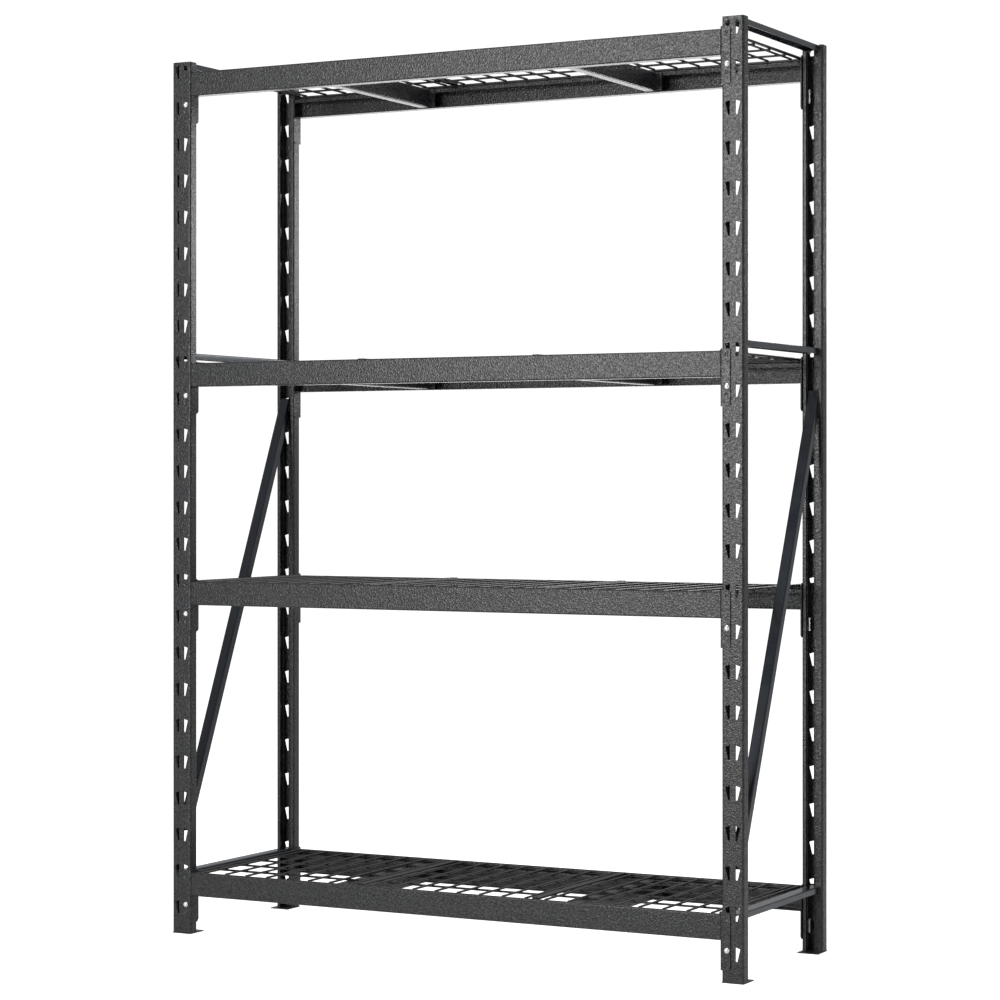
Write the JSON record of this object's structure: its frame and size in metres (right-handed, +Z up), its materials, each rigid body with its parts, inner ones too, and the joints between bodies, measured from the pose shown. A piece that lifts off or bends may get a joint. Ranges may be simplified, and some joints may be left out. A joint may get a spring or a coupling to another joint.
{
  "type": "boltless steel shelving",
  "caption": "Free-standing boltless steel shelving: slotted posts, hook-in step beams, cross ties, diagonal braces and lift-out welded wire decks.",
  "frame": {"origin": "centre of the footprint, on the floor under the foot plates", "axes": "+X to the right along the beams seen from the front, +Y from front to rear, +Z up"},
  "size_m": [1.3, 0.44, 1.829],
  "materials": {
    "hammertone_steel": "charcoal hammertone powder coat, fine light speckle, low sheen",
    "smooth_steel": "smooth blue-black satin paint",
    "deck_wire": "black satin coated wire",
    "zinc": "bright zinc plate"
  },
  "bodies": {
    "frame": {"post_front_left": "hammertone_steel", "post_front_right": "hammertone_steel", "post_rear_left": "hammertone_steel", "post_rear_right": "hammertone_steel", "foot_plates": "hammertone_steel", "side_rails_top": "smooth_steel", "side_rails_middle": "smooth_steel", "side_rails_bottom": "smooth_steel", "brace_left": "smooth_steel", "brace_right": "smooth_steel", "beam_top_front": "hammertone_steel", "beam_top_rear": "hammertone_steel", "beam_upper_front": "hammertone_steel", "beam_upper_rear": "hammertone_steel", "beam_lower_front": "hammertone_steel", "beam_lower_rear": "hammertone_steel", "beam_bottom_front": "hammertone_steel", "beam_bottom_rear": "hammertone_steel", "brackets_top_front": "hammertone_steel", "brackets_top_rear": "hammertone_steel", "brackets_upper_front": "hammertone_steel", "brackets_upper_rear": "hammertone_steel", "brackets_lower_front": "hammertone_steel", "brackets_lower_rear": "hammertone_steel", "brackets_bottom_front": "hammertone_steel", "brackets_bottom_rear": "hammertone_steel", "cross_ties_top": "hammertone_steel", "cross_ties_upper": "hammertone_steel", "cross_ties_lower": "hammertone_steel", "cross_ties_bottom": "hammertone_steel"},
    "deck_top_left": {"deck_top_left": "deck_wire"},
    "deck_top_middle": {"deck_top_middle": "deck_wire"},
    "deck_top_right": {"deck_top_right": "deck_wire"},
    "deck_upper_left": {"deck_upper_left": "deck_wire"},
    "deck_upper_middle": {"deck_upper_middle": "deck_wire"},
    "deck_upper_right": {"deck_upper_right": "deck_wire"},
    "deck_lower_left": {"deck_lower_left": "deck_wire"},
    "deck_lower_middle": {"deck_lower_middle": "deck_wire"},
    "deck_lower_right": {"deck_lower_right": "deck_wire"},
    "deck_bottom_left": {"deck_bottom_left": "deck_wire"},
    "deck_bottom_middle": {"deck_bottom_middle": "deck_wire"},
    "deck_bottom_right": {"deck_bottom_right": "deck_wire"},
    "lock_pin_top_front_left": {"lock_pin_top_front_left": "zinc"},
    "lock_pin_top_front_right": {"lock_pin_top_front_right": "zinc"},
    "lock_pin_top_rear_left": {"lock_pin_top_rear_left": "zinc"},
    "lock_pin_top_rear_right": {"lock_pin_top_rear_right": "zinc"},
    "lock_pin_upper_front_left": {"lock_pin_upper_front_left": "zinc"},
    "lock_pin_upper_front_right": {"lock_pin_upper_front_right": "zinc"},
    "lock_pin_upper_rear_left": {"lock_pin_upper_rear_left": "zinc"},
    "lock_pin_upper_rear_right": {"lock_pin_upper_rear_right": "zinc"},
    "lock_pin_lower_front_left": {"lock_pin_lower_front_left": "zinc"},
    "lock_pin_lower_front_right": {"lock_pin_lower_front_right": "zinc"},
    "lock_pin_lower_rear_left": {"lock_pin_lower_rear_left": "zinc"},
    "lock_pin_lower_rear_right": {"lock_pin_lower_rear_right": "zinc"},
    "lock_pin_bottom_front_left": {"lock_pin_bottom_front_left": "zinc"},
    "lock_pin_bottom_front_right": {"lock_pin_bottom_front_right": "zinc"},
    "lock_pin_bottom_rear_left": {"lock_pin_bottom_rear_left": "zinc"},
    "lock_pin_bottom_rear_right": {"lock_pin_bottom_rear_right": "zinc"}
  },
  "joints": [
    {"name": "lift_deck_top_left", "type": "slide", "parent": "frame", "child": "deck_top_left", "axis": [0, 0, 1], "range_m": [0, 0.25]},
    {"name": "lift_deck_top_middle", "type": "slide", "parent": "frame", "child": "deck_top_middle", "axis": [0, 0, 1], "range_m": [0, 0.25]},
    {"name": "lift_deck_top_right", "type": "slide", "parent": "frame", "child": "deck_top_right", "axis": [0, 0, 1], "range_m": [0, 0.25]},
    {"name": "lift_deck_upper_left", "type": "slide", "parent": "frame", "child": "deck_upper_left", "axis": [0, 0, 1], "range_m": [0, 0.25]},
    {"name": "lift_deck_upper_middle", "type": "slide", "parent": "frame", "child": "deck_upper_middle", "axis": [0, 0, 1], "range_m": [0, 0.25]},
    {"name": "lift_deck_upper_right", "type": "slide", "parent": "frame", "child": "deck_upper_right", "axis": [0, 0, 1], "range_m": [0, 0.25]},
    {"name": "lift_deck_lower_left", "type": "slide", "parent": "frame", "child": "deck_lower_left", "axis": [0, 0, 1], "range_m": [0, 0.25]},
    {"name": "lift_deck_lower_middle", "type": "slide", "parent": "frame", "child": "deck_lower_middle", "axis": [0, 0, 1], "range_m": [0, 0.25]},
    {"name": "lift_deck_lower_right", "type": "slide", "parent": "frame", "child": "deck_lower_right", "axis": [0, 0, 1], "range_m": [0, 0.25]},
    {"name": "lift_deck_bottom_left", "type": "slide", "parent": "frame", "child": "deck_bottom_left", "axis": [0, 0, 1], "range_m": [0, 0.25]},
    {"name": "lift_deck_bottom_middle", "type": "slide", "parent": "frame", "child": "deck_bottom_middle", "axis": [0, 0, 1], "range_m": [0, 0.25]},
    {"name": "lift_deck_bottom_right", "type": "slide", "parent": "frame", "child": "deck_bottom_right", "axis": [0, 0, 1], "range_m": [0, 0.25]},
    {"name": "draw_lock_pin_top_front_left", "type": "slide", "parent": "frame", "child": "lock_pin_top_front_left", "axis": [0, -1, 0], "range_m": [0, 0.0105]},
    {"name": "draw_lock_pin_top_front_right", "type": "slide", "parent": "frame", "child": "lock_pin_top_front_right", "axis": [0, -1, 0], "range_m": [0, 0.0105]},
    {"name": "draw_lock_pin_top_rear_left", "type": "slide", "parent": "frame", "child": "lock_pin_top_rear_left", "axis": [0, 1, 0], "range_m": [0, 0.0105]},
    {"name": "draw_lock_pin_top_rear_right", "type": "slide", "parent": "frame", "child": "lock_pin_top_rear_right", "axis": [0, 1, 0], "range_m": [0, 0.0105]},
    {"name": "draw_lock_pin_upper_front_left", "type": "slide", "parent": "frame", "child": "lock_pin_upper_front_left", "axis": [0, -1, 0], "range_m": [0, 0.0105]},
    {"name": "draw_lock_pin_upper_front_right", "type": "slide", "parent": "frame", "child": "lock_pin_upper_front_right", "axis": [0, -1, 0], "range_m": [0, 0.0105]},
    {"name": "draw_lock_pin_upper_rear_left", "type": "slide", "parent": "frame", "child": "lock_pin_upper_rear_left", "axis": [0, 1, 0], "range_m": [0, 0.0105]},
    {"name": "draw_lock_pin_upper_rear_right", "type": "slide", "parent": "frame", "child": "lock_pin_upper_rear_right", "axis": [0, 1, 0], "range_m": [0, 0.0105]},
    {"name": "draw_lock_pin_lower_front_left", "type": "slide", "parent": "frame", "child": "lock_pin_lower_front_left", "axis": [0, -1, 0], "range_m": [0, 0.0105]},
    {"name": "draw_lock_pin_lower_front_right", "type": "slide", "parent": "frame", "child": "lock_pin_lower_front_right", "axis": [0, -1, 0], "range_m": [0, 0.0105]},
    {"name": "draw_lock_pin_lower_rear_left", "type": "slide", "parent": "frame", "child": "lock_pin_lower_rear_left", "axis": [0, 1, 0], "range_m": [0, 0.0105]},
    {"name": "draw_lock_pin_lower_rear_right", "type": "slide", "parent": "frame", "child": "lock_pin_lower_rear_right", "axis": [0, 1, 0], "range_m": [0, 0.0105]},
    {"name": "draw_lock_pin_bottom_front_left", "type": "slide", "parent": "frame", "child": "lock_pin_bottom_front_left", "axis": [0, -1, 0], "range_m": [0, 0.0105]},
    {"name": "draw_lock_pin_bottom_front_right", "type": "slide", "parent": "frame", "child": "lock_pin_bottom_front_right", "axis": [0, -1, 0], "range_m": [0, 0.0105]},
    {"name": "draw_lock_pin_bottom_rear_left", "type": "slide", "parent": "frame", "child": "lock_pin_bottom_rear_left", "axis": [0, 1, 0], "range_m": [0, 0.0105]},
    {"name": "draw_lock_pin_bottom_rear_right", "type": "slide", "parent": "frame", "child": "lock_pin_bottom_rear_right", "axis": [0, 1, 0], "range_m": [0, 0.0105]}
  ]
}
